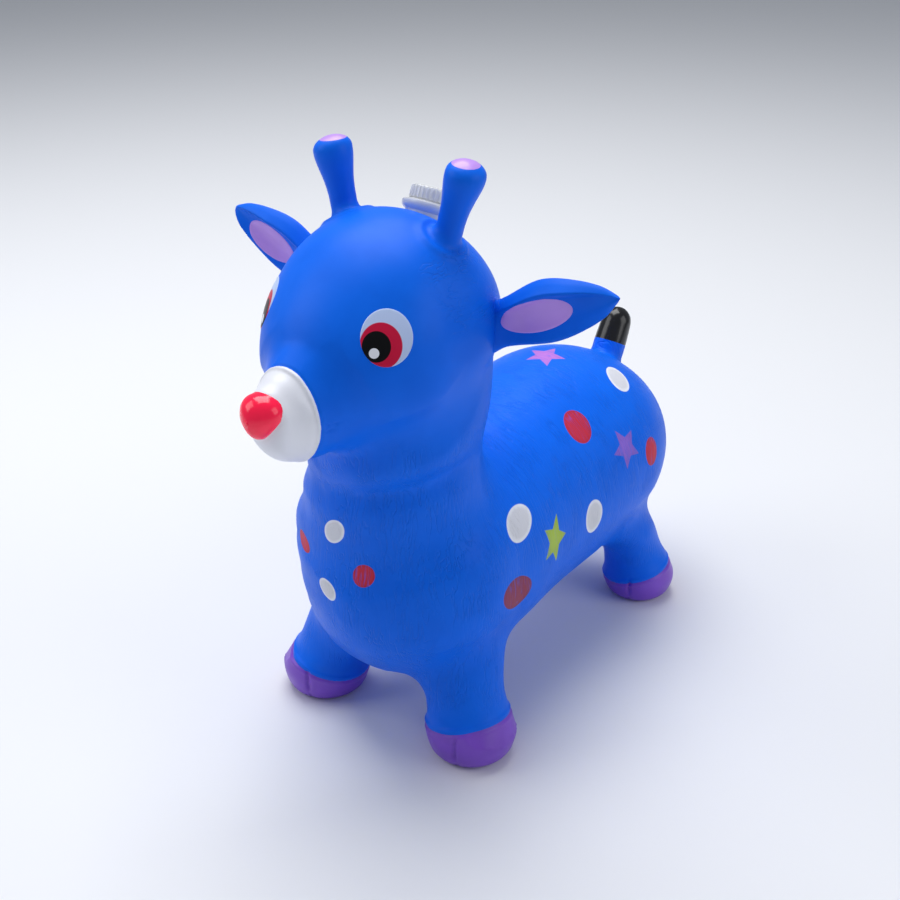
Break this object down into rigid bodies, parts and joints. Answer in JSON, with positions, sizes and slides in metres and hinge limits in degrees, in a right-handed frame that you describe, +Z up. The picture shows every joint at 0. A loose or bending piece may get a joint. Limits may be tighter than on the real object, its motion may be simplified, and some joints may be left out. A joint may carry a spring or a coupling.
{
  "type": "bouncy animal hopper",
  "caption": "Inflatable ride-on fawn hopper with a blue moulded skin, painted hooves, eyes and marks, horns to hold, and a clear screw-capped sound and light module in its crown.",
  "frame": {"origin": "on the floor under the middle of the hopper's overall length and width", "axes": "+Z up; the fawn faces -Y with its tail towards +Y; its left side is +X"},
  "size_m": [0.3762, 0.5659, 0.5249],
  "materials": {
    "skin_blue": "satin soft PVC with fine moulded hair strokes",
    "hoof_purple": "satin purple paint on soft PVC",
    "paint_white": "white paint on soft PVC",
    "nose_red": "glossy red paint on soft PVC",
    "paint_lilac": "lilac paint on soft PVC",
    "paint_black": "glossy black paint on soft PVC",
    "plug_blue": "satin soft PVC",
    "clear_plastic": "clear moulded plastic",
    "seal_white": "matt silicone",
    "board_green": "solder-masked board",
    "lamp_red": "tinted lamp resin",
    "lamp_green": "tinted lamp resin",
    "lamp_blue": "tinted lamp resin",
    "holder_black": "black moulded plastic",
    "steel": "bright steel",
    "sounder_brass": "brass disc",
    "lead_red": "red insulation"
  },
  "bodies": {
    "hopper": {"torso": "skin_blue", "neck": "skin_blue", "head": "skin_blue", "leg_front_left": "skin_blue", "leg_front_right": "skin_blue", "leg_rear_left": "skin_blue", "leg_rear_right": "skin_blue", "hoof_front_left": "hoof_purple", "hoof_front_right": "hoof_purple", "hoof_rear_left": "hoof_purple", "hoof_rear_right": "hoof_purple", "eye_left": "paint_white", "eye_right": "paint_white", "muzzle": "paint_white", "nose": "nose_red", "horn_left": "skin_blue", "horn_right": "skin_blue", "horn_tip_left": "paint_lilac", "horn_tip_right": "paint_lilac", "ear_left": "skin_blue", "ear_right": "skin_blue", "ear_lining_left": "paint_lilac", "ear_lining_right": "paint_lilac", "tail": "skin_blue", "tail_tip": "paint_black", "module_housing": "clear_plastic", "circuit_board": "board_green", "lamp_red": "lamp_red", "lamp_green": "lamp_green", "lamp_blue": "lamp_blue", "sound_chip": "holder_black", "board_screw_1": "steel", "board_screw_2": "steel", "battery_holder": "holder_black", "button_cell_1": "steel", "button_cell_2": "steel", "button_cell_3": "steel", "contact_positive": "steel", "contact_negative": "steel", "shake_switch": "steel", "sounder_disc": "sounder_brass", "sounder_lead_red": "lead_red", "sounder_lead_black": "holder_black"},
    "seal": {"cap_seal": "seal_white"},
    "cap": {"module_cap": "clear_plastic"},
    "plug": {"air_plug": "plug_blue"}
  },
  "joints": [
    {"name": "cap_lift", "type": "slide", "parent": "hopper", "child": "seal", "axis": [0, 0.4695, 0.8829], "range_m": [0, 0.0045]},
    {"name": "cap_turn", "type": "hinge", "parent": "seal", "child": "cap", "pos_m": [0, -0.06691, 0.45831], "axis": [0, 0.4695, 0.8829], "range_deg": [0, 540]},
    {"name": "plug_pull", "type": "slide", "parent": "hopper", "child": "plug", "axis": [0, 0, -1], "range_m": [0, 0.02]}
  ],
  "couplings": [
    {"joint": "cap_lift", "follows": "cap_turn", "m_per_rad": 0.00047746}
  ]
}
